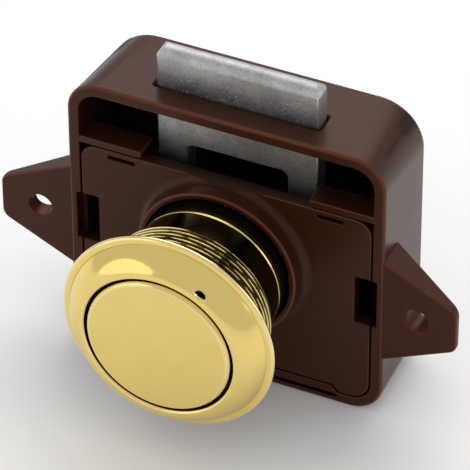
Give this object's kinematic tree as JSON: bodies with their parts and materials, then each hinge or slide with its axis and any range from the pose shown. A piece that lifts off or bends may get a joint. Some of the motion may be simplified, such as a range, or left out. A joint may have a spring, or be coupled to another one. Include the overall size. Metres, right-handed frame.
{
  "type": "pushbutton cabinet latch",
  "caption": "Push-button furniture latch: brown moulded case with screw ears, sliding bolt out of its top, and a gold button through a threaded gold ring.",
  "frame": {"origin": "On the button's axis, in the plane where the case and its ears lie against the back of the door.", "axes": "The button points to -Y, out through the door. The bolt comes out towards +Z. The ears reach out along X."},
  "size_m": [0.0774, 0.0417, 0.056],
  "materials": {
    "brown_plastic": "dark brown moulded plastic with a satin gloss",
    "black_acetal": "black moulded acetal",
    "polished_gold": "polished gold plating",
    "zinc": "plain grey die-cast zinc",
    "spring_steel": "bright spring steel"
  },
  "bodies": {
    "case": {"case_shell": "brown_plastic", "front_cover": "brown_plastic", "catch_leaf_spring": "spring_steel", "leaf_spring_screw": "spring_steel", "return_spring": "spring_steel"},
    "button": {"knob_cap": "polished_gold", "knob_snap_ring": "spring_steel", "plunger": "black_acetal"},
    "bolt": {"bolt": "zinc", "drive_pin_left": "spring_steel", "drive_pin_right": "spring_steel"},
    "catch": {"catch_wire": "spring_steel"},
    "ring": {"rosette": "polished_gold"}
  },
  "joints": [
    {"name": "knob_slide", "type": "slide", "parent": "case", "child": "button", "axis": [0, -1, 0], "range_m": [-0.0018, 0.0085], "deforming": ["return_spring"]},
    {"name": "bolt_slide", "type": "slide", "parent": "case", "child": "bolt", "axis": [0, 0, -1], "range_m": [-0.0015, 0.00701]},
    {"name": "catch_wire_swing", "type": "hinge", "parent": "case", "child": "catch", "pos_m": [0, 0.0131, -0.0089], "axis": [0, 0, 1], "range_deg": [-1.9, 8.7]},
    {"name": "rosette_set", "type": "slide", "parent": "case", "child": "ring", "axis": [0, 1, 0], "range_m": [0, 0.005]}
  ],
  "couplings": [
    {"joint": "bolt_slide", "follows": "knob_slide", "ratio": 0.82353},
    {"joint": "catch_wire_swing", "follows": "knob_slide", "rad_per_m": 17.66}
  ]
}
